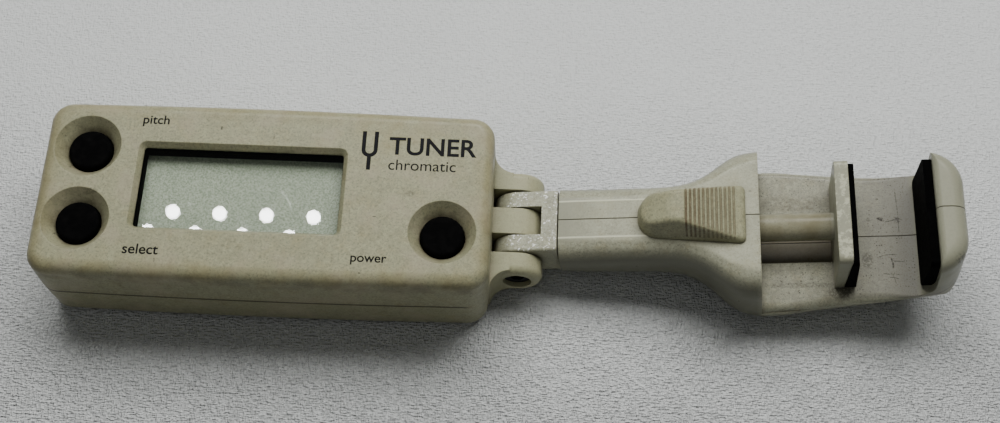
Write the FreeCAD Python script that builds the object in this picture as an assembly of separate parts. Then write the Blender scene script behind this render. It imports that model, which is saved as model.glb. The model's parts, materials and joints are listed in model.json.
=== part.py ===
import FreeCAD, Part
import math
import os

# Clip-on tuner: a case that hinges and swivels on a spring clamp.
# Millimetres. +X runs from the case to the clamp's hook, +Y across, +Z up from the table.
# The model is built with the case's left end at x = 0, and moved at the end so that
# its origin is the bottom centre of the whole tuner.

V = FreeCAD.Vector
X_AXIS, Y_AXIS, Z_AXIS = V(1, 0, 0), V(0, 1, 0), V(0, 0, 1)

# ---- driving dimensions: case ----
CASE_LENGTH = 70.0
CASE_WIDTH = 29.8
CASE_HEIGHT = 18.0
CASE_BOW = 0.45            # how far each long side bows out at its middle
CORNER_RADIUS = 3.5
TOP_FILLET = 2.0
BOTTOM_FILLET = 2.2
BASE_DRAFT = 0.35          # the base is this much smaller all round
FACE_DRAFT = 0.15
PARTING_Z = 9.3
WALL = 1.6
TOP_WALL = 2.0

WINDOW_X = (15.6, 46.6)    # clear opening
WINDOW_Y = (-6.5, 6.9)
WINDOW_BEVEL = 0.75        # how far the bevel's lip stands outside the opening
LENS_DEPTH = 1.0
LENS_THICK = 1.1
LENS_MARGIN = 0.9
GASKET_THICK = 1.7
LCD_THICK = 2.2
LCD_MARGIN = 1.1

BUTTONS = {"reference": (6.9, 6.5), "select": (6.9, -5.8), "power": (62.6, -5.8)}
BUTTON_RADIUS = 3.35
BUTTON_SINK = 1.4          # cap top below the face
WELL_RADIUS = 5.2
WELL_DEPTH = 2.4
BOSS_RADIUS = 5.9
BOSS_Z = 14.0              # underside of the button bosses
BUTTON_GAP = 0.15

BOARD_Z = 8.4
BOARD_THICK = 1.2
SWITCH_SIDE = 6.0
SWITCH_HEIGHT = 2.6
PLUNGER_RADIUS = 1.75

CELL_X = 32.0
CELL_RADIUS = 10.0
CELL_THICK = 3.2
CELL_Z = 1.9
CAP_RADIUS = 11.4
CAP_THICK = 1.3
CAP_SINK = 0.15            # the cap's face stands this far inside the back
LUG_RADIUS = 12.4
LUG_Z = (1.0, 1.75)
RING_RADIUS = 13.2
RING_TOP = 3.0
CAP_GAP = 0.15

POST_PLACES = ((13.2, 11.0), (13.2, -11.0), (56.0, 11.0), (56.0, -11.0))
POST_RADIUS = 2.2
SCREW_RADIUS = 0.9
SCREW_HEAD_RADIUS = 1.7

# ---- driving dimensions: hinge and yoke ----
HINGE_X = CASE_LENGTH + 4.2
HINGE_Z = 6.4
KNUCKLE_RADIUS = 3.9
KNUCKLE_FILLET = 1.2
MID_KNUCKLE = 2.2          # half width
LUG_Y = (2.4, 5.2)
OUTER_KNUCKLE_Y = (5.4, 8.7)
FLARE_Y = 11.2
PIN_RADIUS = 1.2
PIN_FIT = 0.05
HINGE_RECESS_RADIUS = 2.25
CLAMP_PITCH = 9.3          # degrees, how far the clamp is tipped up at rest

YOKE_BRIDGE = (4.1, 6.6)
YOKE_FILLET = 0.5
POST_FIT = 0.06
YOKE_POST_RADIUS = 2.5
YOKE_POST_END = 12.4
FLANGE = (9.0, 10.4, 3.5)  # from, to, radius

# ---- driving dimensions: clamp (along the clamp from the hinge axis) ----
HANDLE_START = 6.8
MOUTH = 37.8
HANDLE_TOP = 3.85
FLOOR = -5.75
HOOK_INNER = 63.9
HOOK_OUTER = 68.3
HOOK_TOP = 4.9
HOOK_START = 53.9
HOOK_HALF = (11.2, 9.4)    # half width of the hook's block at its start and at its outer face
HOOK_CORNER = 5.6
HOOK_ROUND = 2.3
RIM_RADIUS = 1.2           # rounds the channel's two long rims
ROD_AXIS = -1.5
ROD_RADIUS = 2.15
ROD_FIT = 0.1
ROD_END = 31.0
SPRING_START = 16.0
CHAMBER_RADIUS = 2.6
JAW = (49.25, 51.35)
JAW_FOOT = (49.05, 50.5)   # the plate leans back and thins towards its foot
JAW_HALF = 8.55
JAW_TOP = 4.76
JAW_BOTTOM = -5.6
JAW_TRAVEL = 10.8
PAD_THICK = 0.9            # at the top; the wedge gets thicker towards its foot
PAD_Y = (-8.75, 8.35)
HOOK_PAD_TOP = 1.3          # the hook's pad is a slight wedge
HOOK_PAD_FOOT = 2.0
GROOVE_HALF = 4.2
GROOVE_DEPTH = 2.0
WEB = (31.6, 34.6)
WEB_HALF = 1.4
SLIDE_NOSE, SLIDE_CREST, SLIDE_RAMP_END, SLIDE_END = 19.2, 26.3, 34.6, 35.7
SLIDE_BASE = 4.0
SLIDE_CREST_TOP = 8.2
SLIDE_RAMP_TOP = 5.1
SLIDE_HALF = (3.35, 4.9)   # half width at the nose and at the tail
SLIDE_LEAN = 1.4           # how far its sides lean in over SLIDE_BLANK of height
SLIDE_BLANK = 5.0
SLIDE_TAIL_RADIUS = 0.9
SLIDE_SOFTNESS = 0.9       # rounds the edges of its top
GROOVE_COUNT = 12
GROOVE_FIRST = 26.8
GROOVE_PITCH = 0.655
GROOVE_RADIUS = 0.22

os.makedirs("parts", exist_ok=True)


# ---- helpers ----
def box(x, y, z):
    """A box from three (low, high) pairs."""
    return Part.makeBox(x[1] - x[0], y[1] - y[0], z[1] - z[0], V(x[0], y[0], z[0]))


def rod(radius, start, end, axis):
    """A cylinder of one radius between two points along an axis."""
    length = (end - start).Length
    return Part.makeCylinder(radius, length, start, axis)


def upright(radius, x, y, z):
    return rod(radius, V(x, y, z[0]), V(x, y, z[1]), Z_AXIS)


def across(radius, x, z, y):
    return rod(radius, V(x, y[0], z), V(x, y[1], z), Y_AXIS)


def along(radius, x, z, y=0.0):
    return rod(radius, V(x[0], y, z), V(x[1], y, z), X_AXIS)


def join(shapes):
    return shapes[0].multiFuse(list(shapes[1:])).removeSplitter()


def cut(shape, tools):
    return shape.cut(list(tools)).removeSplitter()


def group(shapes):
    return Part.makeCompound(list(shapes))


def polygon(points):
    return Part.Face(Part.makePolygon(points + [points[0]]))


def fillet_where(shape, radius, wanted):
    """Round the edges whose bounding box passes a test."""
    edges = [edge for edge in shape.Edges if wanted(edge.BoundBox)]
    return shape.makeFillet(radius, edges)


def hexagon(flats, x, z, y):
    reach = flats / math.sqrt(3)
    corners = [V(x + reach * math.cos(math.radians(60 * i)), y[0],
                 z + reach * math.sin(math.radians(60 * i))) for i in range(6)]
    return polygon(corners).extrude(V(0, y[1] - y[0], 0))


def spline(points, start_tangent, end_tangent):
    curve = Part.BSplineCurve()
    curve.interpolate(Points=points, InitialTangent=start_tangent, FinalTangent=end_tangent)
    return curve.toShape()


# ---- the case ----
def case_outline(inset, z):
    """Rounded rectangle whose long sides bow outwards, drawn at height z."""
    low, high = inset, CASE_LENGTH - inset
    mid = CASE_LENGTH / 2
    half = CASE_WIDTH / 2 - inset
    reach = mid - inset
    bow_radius = (reach ** 2 + CASE_BOW ** 2) / (2 * CASE_BOW)
    bow_centre = half - bow_radius
    radius = max(CORNER_RADIUS - inset, 0.6)
    centre_x = reach - radius
    centre_y = bow_centre + math.sqrt((bow_radius - radius) ** 2 - centre_x ** 2)
    scale = bow_radius / (bow_radius - radius)
    touch_x, touch_y = centre_x * scale, bow_centre + (centre_y - bow_centre) * scale
    turn = math.atan2(touch_y - centre_y, touch_x - centre_x) / 2
    knee_x = centre_x + radius * math.cos(turn)
    knee_y = centre_y + radius * math.sin(turn)

    def at(x, y):
        return V(mid + x, y, z)

    def side(sign):
        return Part.Arc(at(-sign * touch_x, sign * touch_y), at(0, sign * half),
                        at(sign * touch_x, sign * touch_y)).toShape()

    def corner(sx, sy):
        return Part.Arc(at(sx * touch_x, sy * touch_y), at(sx * knee_x, sy * knee_y),
                        at(sx * reach, sy * centre_y)).toShape()

    ends = [Part.makeLine(V(x, centre_y, z), V(x, -centre_y, z)) for x in (low, high)]
    edges = [side(1), side(-1), ends[0], ends[1]]
    edges += [corner(sx, sy) for sx in (-1, 1) for sy in (-1, 1)]
    return Part.Wire(Part.__sortEdges__(edges))


def case_block(low, high):
    """Solid between two (inset, z) outlines."""
    return Part.makeLoft([case_outline(*low), case_outline(*high)], True, True)


def top_edges(z):
    return lambda b: abs(b.ZMin - z) < 0.01 and abs(b.ZMax - z) < 0.01


def knuckle_block():
    """The raised part of the rear shell's end wall, behind the knuckles."""
    return box((CASE_LENGTH - WALL, CASE_LENGTH - BASE_DRAFT), (-FLARE_Y, FLARE_Y),
               (HINGE_Z - KNUCKLE_RADIUS, HINGE_Z + KNUCKLE_RADIUS))


def button_well(place):
    x, y = place
    dish = Part.makeCone(BUTTON_RADIUS + BUTTON_GAP, WELL_RADIUS, WELL_DEPTH,
                         V(x, y, CASE_HEIGHT - WELL_DEPTH), Z_AXIS)
    hole = upright(BUTTON_RADIUS + BUTTON_GAP, x, y, (BOSS_Z - 1, CASE_HEIGHT))
    return dish.fuse(hole)


def window_prism(margin, z):
    return box((WINDOW_X[0] - margin, WINDOW_X[1] + margin),
               (WINDOW_Y[0] - margin, WINDOW_Y[1] + margin), z)


def window_bevel():
    """The sloping sides of the display opening."""
    def outline(margin, z):
        frame = window_prism(margin, (z, z + 1))
        rounded = fillet_where(frame, 0.5 + margin, lambda b: b.ZLength > 0.9)
        face = [f for f in rounded.Faces if abs(f.BoundBox.ZMax - z) < 0.01][0]
        return face.OuterWire
    low = outline(0.0, CASE_HEIGHT - LENS_DEPTH)
    high = outline(WINDOW_BEVEL, CASE_HEIGHT)
    return Part.makeLoft([low, high], True, True)


def front_shell():
    outer = case_block((0.0, PARTING_Z), (FACE_DRAFT, CASE_HEIGHT))
    outer = outer.makeFillet(TOP_FILLET, [e for e in outer.Edges if top_edges(CASE_HEIGHT)(e.BoundBox)])
    inner = case_block((WALL, PARTING_Z - 1), (WALL + FACE_DRAFT, CASE_HEIGHT - TOP_WALL))
    shell = outer.cut(inner)
    posts = [upright(POST_RADIUS, x, y, (BOARD_Z + BOARD_THICK, CASE_HEIGHT - TOP_WALL))
             for x, y in POST_PLACES]
    bosses = [upright(BOSS_RADIUS, x, y, (BOSS_Z, CASE_HEIGHT - TOP_WALL))
              for x, y in BUTTONS.values()]
    bosses = [boss.common(outer) for boss in bosses]
    shell = join([shell] + posts + bosses)
    lens_z = CASE_HEIGHT - LENS_DEPTH
    tools = [button_well(place) for place in BUTTONS.values()]
    tools += [window_bevel(), window_prism(LENS_MARGIN, (lens_z - LENS_THICK, lens_z))]
    tools += [upright(SCREW_RADIUS, x, y, (BOARD_Z, CASE_HEIGHT - TOP_WALL - 1)) for x, y in POST_PLACES]
    tools.append(box((CASE_LENGTH - WALL - 1, CASE_LENGTH + 1), (-FLARE_Y, FLARE_Y),
                     (PARTING_Z - 1, HINGE_Z + KNUCKLE_RADIUS)))
    return cut(shell, tools)


def rear_shell():
    outer = case_block((BASE_DRAFT, 0.0), (0.0, PARTING_Z))
    outer = outer.makeFillet(BOTTOM_FILLET, [e for e in outer.Edges if top_edges(0.0)(e.BoundBox)])
    inner = case_block((WALL + BASE_DRAFT, WALL), (WALL, PARTING_Z + 1))
    shell = outer.cut(inner)
    ring = upright(RING_RADIUS, CELL_X, 0, (0.4, RING_TOP)).common(outer)
    posts = [upright(POST_RADIUS, x, y, (0.4, BOARD_Z)) for x, y in POST_PLACES]
    shell = join([shell, ring, knuckle_block()] + posts + knuckles())
    tools = battery_well()
    for x, y in POST_PLACES:
        tools.append(upright(SCREW_RADIUS, x, y, (-1, BOARD_Z + 1)))
        tools.append(upright(SCREW_HEAD_RADIUS + 0.15, x, y, (-1, 3.0)))
    tools.append(across(PIN_RADIUS, HINGE_X, HINGE_Z, (-10, 10)))
    tools.append(across(HINGE_RECESS_RADIUS, HINGE_X, HINGE_Z, (-10, -7.1)))
    tools.append(hexagon(4.0, HINGE_X, HINGE_Z, (7.0, 10)))
    return cut(shell, tools)


def knuckles():
    """Three hinge knuckles with arms back to the case's end wall."""
    z = (HINGE_Z - KNUCKLE_RADIUS, HINGE_Z + KNUCKLE_RADIUS)
    wall_x = CASE_LENGTH - WALL
    middle = (-MID_KNUCKLE, MID_KNUCKLE)
    shapes = [across(KNUCKLE_RADIUS, HINGE_X, HINGE_Z, middle), box((wall_x, HINGE_X), middle, z)]
    for sign in (1, -1):
        span = tuple(sorted(sign * y for y in OUTER_KNUCKLE_Y))
        outer_y = sign * OUTER_KNUCKLE_Y[1]
        knuckle = join([across(KNUCKLE_RADIUS, HINGE_X, HINGE_Z, span), box((wall_x, HINGE_X), span, z)])
        knuckle = fillet_where(knuckle, KNUCKLE_FILLET, lambda b: abs(b.YMin - outer_y) < 0.01
                               and b.YLength < 0.01 and b.XMax > CASE_LENGTH)
        shapes += [knuckle, flare(sign, z)]
    return shapes


def flare(sign, z):
    """Concave web that widens an outer knuckle's arm towards the wall."""
    inner, outer = sign * OUTER_KNUCKLE_Y[1], sign * FLARE_Y
    wall_x = CASE_LENGTH - WALL
    root, tip = CASE_LENGTH, CASE_LENGTH + 3.0
    bend = V(root + 0.8, sign * (OUTER_KNUCKLE_Y[1] + 0.75), z[0])
    inner -= sign * 0.3
    edges = [
        Part.makeLine(V(wall_x, inner - sign, z[0]), V(wall_x, outer, z[0])),
        Part.makeLine(V(wall_x, outer, z[0]), V(root, outer, z[0])),
        Part.Arc(V(root, outer, z[0]), bend, V(tip, inner, z[0])).toShape(),
        Part.makeLine(V(tip, inner, z[0]), V(tip, inner - sign, z[0])),
        Part.makeLine(V(tip, inner - sign, z[0]), V(wall_x, inner - sign, z[0])),
    ]
    return Part.Face(Part.Wire(edges)).extrude(V(0, 0, z[1] - z[0]))


def lug_sector(radius, z, centre_angle, spread):
    """A pie slice about the battery's axis."""
    return Part.makeCylinder(radius, z[1] - z[0], V(CELL_X, 0, z[0]), Z_AXIS, spread).rotated(
        V(CELL_X, 0, 0), Z_AXIS, centre_angle - spread / 2)


LUG_ANGLES = (0, 120, 240)
LUG_SPREAD = 24
CAP_TURN = 40


def battery_well():
    """Round opening, bayonet groove and the three gaps that let the lugs out."""
    tools = [upright(CAP_RADIUS + CAP_GAP, CELL_X, 0, (-1, RING_TOP + 1))]
    groove = (LUG_Z[0] - CAP_GAP, LUG_Z[1] + CAP_GAP)
    tools.append(upright(LUG_RADIUS + CAP_GAP, CELL_X, 0, groove))
    tools += [lug_sector(LUG_RADIUS + CAP_GAP, (-1, groove[1]), angle + CAP_TURN, LUG_SPREAD + 5)
              for angle in LUG_ANGLES]
    return tools


def battery_cap():
    """Bayonet cap: a dished disc with a coin slot and three lugs."""
    low = CAP_SINK
    disc = fillet_where(upright(CAP_RADIUS, CELL_X, 0, (low, LUG_Z[1])), 0.3, top_edges(low))
    disc = disc.cut(upright(CELL_RADIUS + 0.3, CELL_X, 0, (low + CAP_THICK, LUG_Z[1] + 1)))
    core = upright(CAP_RADIUS - 0.5, CELL_X, 0, (0, 5))
    lugs = [lug_sector(LUG_RADIUS, LUG_Z, angle, LUG_SPREAD).cut(core) for angle in LUG_ANGLES]
    coin_slot = box((CELL_X - 6, CELL_X + 6), (-0.9, 0.9), (low - 1, low + 0.7))
    return join([disc] + lugs).cut(coin_slot)


def display_window():
    top = CASE_HEIGHT - LENS_DEPTH
    lens = window_prism(LENS_MARGIN - 0.05, (top - LENS_THICK, top))
    return fillet_where(lens, 0.6, lambda b: b.ZLength > 0.9)


GASKET_TOP = CASE_HEIGHT - LENS_DEPTH - LENS_THICK
LCD_TOP = GASKET_TOP - GASKET_THICK


def lcd_gasket():
    frame = window_prism(LCD_MARGIN, (LCD_TOP, GASKET_TOP))
    return frame.cut(window_prism(0.1, (LCD_TOP - 1, GASKET_TOP + 1)))


def lcd_panel():
    back = window_prism(LCD_MARGIN, (LCD_TOP - LCD_THICK, LCD_TOP - LCD_THICK / 2))
    front = window_prism(LCD_MARGIN - 0.6, (LCD_TOP - LCD_THICK / 2, LCD_TOP))
    return back.fuse(front)


def connector_strip(sign):
    centre = (WINDOW_Y[0] + WINDOW_Y[1]) / 2
    y = centre + sign * 6.6
    return box((WINDOW_X[0] + 1, WINDOW_X[1] - 1), (y - 0.9, y + 0.9),
               (BOARD_Z + BOARD_THICK, LCD_TOP - LCD_THICK))


def circuit_board():
    z = (BOARD_Z, BOARD_Z + BOARD_THICK)
    half = CASE_WIDTH / 2 - WALL - 1.0
    board = box((3.0, CASE_LENGTH - WALL - 1.2), (-half, half), z)
    board = fillet_where(board, 2.0, lambda b: b.ZLength > 1.0)
    return cut(board, [upright(SCREW_RADIUS + 0.25, x, y, (0, 20)) for x, y in POST_PLACES])


def chip(x, y, side, height):
    """A surface-mount chip under the board, with a row of leads on two sides."""
    reach = side / 2
    body = box((x - reach, x + reach), (y - reach, y + reach), (BOARD_Z - height, BOARD_Z - 0.15))
    leads = []
    pitch = side / 8
    for i in range(7):
        place = x - reach + pitch * (i + 1)
        leads.append(box((place - pitch / 5, place + pitch / 5), (y - reach - 1, y + reach + 1),
                         (BOARD_Z - 0.35, BOARD_Z)))
    return join([body] + leads)


def tact_switch(place):
    x, y = place
    low = BOARD_Z + BOARD_THICK
    half = SWITCH_SIDE / 2
    body = box((x - half, x + half), (y - half, y + half), (low, low + SWITCH_HEIGHT))
    body = fillet_where(body, 0.5, lambda b: b.ZLength > 1.0)
    return body.cut(upright(PLUNGER_RADIUS + PIN_FIT, x, y, (low + 0.9, low + 5)))


def button_cap(place):
    x, y = place
    top = CASE_HEIGHT - BUTTON_SINK
    cap = upright(BUTTON_RADIUS, x, y, (BOSS_Z - 1.1, top))
    cap = fillet_where(cap, 0.5, top_edges(top))
    flange = upright(BUTTON_RADIUS + 0.9, x, y, (BOSS_Z - 1.1, BOSS_Z - 0.05))
    return cap.fuse(flange).removeSplitter()


def button_plunger(place):
    x, y = place
    return upright(PLUNGER_RADIUS, x, y, (BOARD_Z + BOARD_THICK + 1.6, BOSS_Z - 1.1))


def coin_cell():
    can = upright(CELL_RADIUS, CELL_X, 0, (CELL_Z, CELL_Z + CELL_THICK - 0.4))
    can = fillet_where(can, 0.3, top_edges(CELL_Z))
    cup = upright(CELL_RADIUS - 1.2, CELL_X, 0, (CELL_Z + CELL_THICK - 0.4, CELL_Z + CELL_THICK))
    return can.fuse(cup)


def negative_contact():
    """Leaf spring from the board down onto the top of the cell."""
    top = CELL_Z + CELL_THICK
    profile = [V(CELL_X - 6, 0, BOARD_Z), V(CELL_X - 6, 0, BOARD_Z - 0.3), V(CELL_X - 3, 0, BOARD_Z - 0.3),
               V(CELL_X + 2, 0, top), V(CELL_X + 5, 0, top), V(CELL_X + 5, 0, top + 0.3),
               V(CELL_X + 2.1, 0, top + 0.3), V(CELL_X - 2.9, 0, BOARD_Z)]
    leaf = polygon(profile).extrude(V(0, 4, 0))
    return leaf.translated(V(0, -2, 0))


def positive_contact():
    """Bent tab that bears on the side of the cell."""
    x = CELL_X + CELL_RADIUS
    upright_leg = box((x, x + 0.35), (-2.5, 2.5), (CELL_Z + 0.4, BOARD_Z))
    foot = box((x, x + 2.5), (-2.5, 2.5), (BOARD_Z - 0.3, BOARD_Z))
    return join([upright_leg, foot])


PIEZO_PLACE = (58.6, 0.0)


def piezo_pickup():
    x, y = PIEZO_PLACE
    brass = upright(6.0, x, y, (WALL, WALL + 0.3))
    ceramic = upright(4.5, x, y, (WALL + 0.3, WALL + 0.55))
    return brass.fuse(ceramic)


def piezo_leads():
    x, y = PIEZO_PLACE
    tall = upright(0.3, x, y, (WALL + 0.55, BOARD_Z))
    short = upright(0.3, x + 5.2, y, (WALL + 0.3, BOARD_Z))
    return group([tall, short])


def case_screws():
    screws = []
    for x, y in POST_PLACES:
        head = upright(SCREW_HEAD_RADIUS, x, y, (1.6, 3.0))
        cross = [box((x - 1.0, x + 1.0), (y - 0.2, y + 0.2), (1.5, 2.2)),
                 box((x - 0.2, x + 0.2), (y - 1.0, y + 1.0), (1.5, 2.2))]
        shank = upright(SCREW_RADIUS, x, y, (3.0, CASE_HEIGHT - TOP_WALL - 1.5))
        screws.append(cut(head.fuse(shank), cross))
    return group(screws)


def hinge_screw():
    head = across(2.05, HINGE_X, HINGE_Z, (-8.0, -7.1))
    shank = across(PIN_RADIUS, HINGE_X, HINGE_Z, (-7.1, 8.4))
    socket = hexagon(1.9, HINGE_X, HINGE_Z, (-8.5, -7.4))
    return cut(head.fuse(shank), [socket])


def hinge_nut():
    return hexagon(3.96, HINGE_X, HINGE_Z, (7.0, 8.4)).cut(across(PIN_RADIUS, HINGE_X, HINGE_Z, (6, 9)))


# ---- the clamp, drawn level with the hinge axis at its origin ----
def tip_up(shape):
    """Turn a level clamp piece to its rest angle and set it on the hinge axis."""
    return shape.rotated(V(0, 0, 0), Y_AXIS, -CLAMP_PITCH).translated(V(HINGE_X, 0, HINGE_Z))


def yoke():
    lugs = []
    for sign in (1, -1):
        span = tuple(sorted((sign * LUG_Y[0], sign * LUG_Y[1])))
        lugs.append(across(KNUCKLE_RADIUS, 0, 0, span))
        lugs.append(box((0, YOKE_BRIDGE[0]), span, (-KNUCKLE_RADIUS, KNUCKLE_RADIUS)))
    bridge = box(YOKE_BRIDGE, (-LUG_Y[1], LUG_Y[1]), (-KNUCKLE_RADIUS, KNUCKLE_RADIUS))
    block = join(lugs + [bridge])
    block = fillet_where(block, YOKE_FILLET, lambda b: abs(abs(b.YMin) - LUG_Y[1]) < 0.01
                         and b.YLength < 0.01 and b.XMin < YOKE_BRIDGE[1] - 0.1)
    post = along(YOKE_POST_RADIUS, (YOKE_BRIDGE[1], YOKE_POST_END), 0)
    flange = along(FLANGE[2], FLANGE[:2], 0)
    bore = across(PIN_RADIUS + PIN_FIT, 0, 0, (-8, 8))
    return cut(join([block, post, flange]), [bore])


def friction_washer():
    ring = along(FLANGE[2], (FLANGE[1] + 0.15, FLANGE[1] + 0.9), 0)
    return ring.cut(along(YOKE_POST_RADIUS + 0.1, (0, 20), 0))


def clamp_section(x, flat, half, top, shoulder, bottom, fullness):
    """Closed outline across the clamp: a flat top, round shoulders and a full belly."""
    steps = 6
    turns = [math.pi / 2 * i / steps for i in range(steps + 1)]
    power = 2.0 / fullness

    def shoulder_points(sign):
        return [V(x, sign * (flat + (half - flat) * math.sin(t)), shoulder + (top - shoulder) * math.cos(t))
                for t in turns]

    def belly_points(sign):
        points = [V(x, sign * half * math.cos(t) ** power,
                    shoulder + (bottom - shoulder) * math.sin(t) ** power) for t in turns[:-1]]
        return points + [V(x, 0, bottom)]

    right_top, left_top = shoulder_points(1), shoulder_points(-1)
    right_belly, left_belly = belly_points(1), belly_points(-1)
    down, up, right, left = V(0, 0, -1), V(0, 0, 1), V(0, 1, 0), V(0, -1, 0)
    edges = [
        Part.makeLine(left_top[0], right_top[0]),
        spline(right_top, right, down),
        spline(right_belly, down, left),
        spline(left_belly[::-1], left, up),
        spline(left_top[::-1], up, right),
    ]
    return Part.Wire(edges)


# place, half width of the flat, half width, top, shoulder height, belly, fullness
CLAMP_SECTIONS = (
    (HANDLE_START - 8.0, 3.1, 6.4, HANDLE_TOP, 0.5, -4.4, 3.0),
    (HANDLE_START - 4.0, 3.1, 6.4, HANDLE_TOP, 0.5, -4.6, 3.0),
    (HANDLE_START, 3.1, 6.4, HANDLE_TOP, 0.3, -4.8, 3.1),
    (HANDLE_START + 4.0, 3.1, 6.42, HANDLE_TOP, -0.1, -5.1, 3.2),
    (15.0, 3.15, 6.4, HANDLE_TOP, -0.2, -5.4, 3.3),
    (19.0, 3.25, 6.4, HANDLE_TOP, -0.2, -5.75, 3.3),
    (23.0, 3.5, 6.42, HANDLE_TOP, -0.2, -6.5, 3.2),
    (27.0, 4.3, 6.98, HANDLE_TOP, -0.25, -8.1, 3.3),
    (30.5, 5.4, 8.95, HANDLE_TOP, -0.4, -10.2, 3.6),
    (34.0, 7.4, 11.55, HANDLE_TOP, -0.6, -11.9, 4.2),
    (MOUTH + 1.5, 9.1, 12.35, HANDLE_TOP, -0.9, -12.45, 4.6),
    (46.0, 9.6, 11.6, 4.4, -1.2, -12.2, 4.6),
    (55.0, 10.0, 10.8, 6.0, -1.2, -11.4, 4.4),
    (63.0, 9.8, 10.2, 7.0, -1.0, -10.5, 4.0),
    (HOOK_OUTER + 1.0, 9.6, 10.0, 7.0, -1.0, -9.9, 3.8),
    (HOOK_OUTER + 9.0, 9.4, 9.8, 7.0, -1.0, -9.3, 3.6),
)


def clamp_side_profile():
    """Side view of the clamp: handle, mouth, channel floor, hook and rounded toe."""
    low = -14.0
    fillet = 3.0
    root = HOOK_INNER - HOOK_PAD_FOOT - fillet
    points = {
        "start": V(HANDLE_START, 0, low), "start_top": V(HANDLE_START, 0, HANDLE_TOP + 0.5),
        "mouth_top": V(MOUTH, 0, HANDLE_TOP + 0.5), "mouth_floor": V(MOUTH, 0, FLOOR),
        "root": V(root, 0, FLOOR), "rise": V(HOOK_INNER, 0, FLOOR + fillet),
        "crown_in": V(HOOK_INNER, 0, 3.8), "crown": V(HOOK_INNER + 1.1, 0, HOOK_TOP + 0.02),
        "crown_out": V(HOOK_OUTER + 1, 0, HOOK_TOP + 0.02), "face": V(HOOK_OUTER + 1, 0, -1.0),
        "face_foot": V(HOOK_OUTER + 0.02, 0, -4.0), "toe": V(66.9, 0, -7.8), "heel": V(61.2, 0, low),
    }
    p = points
    edges = [
        Part.makeLine(p["start"], p["start_top"]),
        Part.makeLine(p["start_top"], p["mouth_top"]),
        Part.makeLine(p["mouth_top"], p["mouth_floor"]),
        Part.makeLine(p["mouth_floor"], p["root"]),
        spline([p["root"], V(HOOK_INNER - 1.2, 0, FLOOR + 0.7), p["rise"]], X_AXIS, Z_AXIS),
        Part.makeLine(p["rise"], p["crown_in"]),
        spline([p["crown_in"], V(HOOK_INNER + 0.32, 0, HOOK_TOP - 0.34), p["crown"]], Z_AXIS, X_AXIS),
        Part.makeLine(p["crown"], p["crown_out"]),
        Part.makeLine(p["crown_out"], p["face"]),
        Part.makeLine(p["face"], p["face_foot"]),
        spline([p["face_foot"], p["toe"], p["heel"]], V(0, 0, -1), V(-1, 0, -0.9)),
        Part.makeLine(p["heel"], p["start"]),
    ]
    return Part.Face(Part.Wire(edges)).extrude(V(0, 30, 0)).translated(V(0, -15, 0))


def hook_envelope():
    """The space the clamp keeps to: a pillow-shaped hook block, and plain room before it."""
    start, end = HOOK_HALF
    plan = polygon([V(HOOK_START, -start, -15), V(HOOK_OUTER, -end, -15),
                    V(HOOK_OUTER, end, -15), V(HOOK_START, start, -15)])
    hook = plan.extrude(V(0, 0, HOOK_TOP + 15))
    hook = fillet_where(hook, HOOK_CORNER, lambda b: b.ZLength > 10 and b.XMin > HOOK_INNER)
    hook = fillet_where(hook, HOOK_ROUND, lambda b: b.ZMin > HOOK_TOP - 0.01 and b.XMax > HOOK_START + 1)
    rest = box((-2, HOOK_INNER - 2), (-14, 14), (-15, 8))
    return hook.fuse(rest)


# place along the clamp, half width at the channel's floor, how much of the rim's radius is cut
RIM_SECTIONS = ((MOUTH, 12.05, 1.0), (46.0, 11.5, 1.0), (55.0, 10.65, 1.0), (60.5, 10.34, 0.12))


def rim_cutter(sign):
    """What is cut away to round one long rim of the channel; sign is the rim's side."""
    wires = []
    for x, half, share in RIM_SECTIONS:
        radius = RIM_RADIUS * share
        knee = radius * (1 - math.sqrt(0.5))
        inner, outer = V(x, sign * (half - radius), FLOOR), V(x, sign * half, FLOOR - radius)
        middle = V(x, sign * (half - knee), FLOOR - knee)
        corners = [outer, V(x, sign * (half + 2), FLOOR - radius), V(x, sign * (half + 2), FLOOR + 1),
                   V(x, sign * (half - radius), FLOOR + 1), inner]
        edges = [Part.makeLine(a, b) for a, b in zip(corners, corners[1:])]
        wires.append(Part.Wire([Part.Arc(inner, middle, outer).toShape()] + edges))
    return Part.makeLoft(wires, True, False)


def clamp_near_half():
    """The near moulding of the clamp, without its screw holes."""
    outer = Part.makeLoft([clamp_section(*row) for row in CLAMP_SECTIONS], True, False)
    body = outer.common(clamp_side_profile()).common(hook_envelope())
    keep = box((0, 80), (-20, 0), (-20, 12))
    body = body.common(keep).cut(rim_cutter(-1))
    hollows = [
        along(YOKE_POST_RADIUS + POST_FIT, (0, YOKE_POST_END + 0.3), 0),
        along(FLANGE[2] + 0.15, (FLANGE[0] - 0.15, FLANGE[1] + 1.0), 0),
        along(CHAMBER_RADIUS, (SPRING_START, ROD_END + 4.5), ROD_AXIS),
        along(ROD_RADIUS + ROD_FIT, (SPRING_START, MOUTH + 1), ROD_AXIS),
        box((WEB[0] - JAW_TRAVEL - 0.4, WEB[1] + 0.4), (-WEB_HALF - 0.15, WEB_HALF + 0.15), (ROD_AXIS, 9)),
        box((MOUTH - 0.6, JAW[1]), (-GROOVE_HALF, GROOVE_HALF),
            (FLOOR - GROOVE_DEPTH, FLOOR + 0.1)),
    ]
    return body.cut(hollows)


CLAMP_SCREWS = ((14.2, -0.4, 5.2), (36.2, -9.1, 8.0), (58.5, -7.9, 7.0))


def clamp_screw_holes():
    tools = []
    for x, z, head_y in CLAMP_SCREWS:
        tools.append(across(SCREW_RADIUS, x, z, (-head_y + 2, 14)))
        tools.append(across(SCREW_HEAD_RADIUS + 0.15, x, z, (head_y - 1.0, 14)))
    return tools


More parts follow.
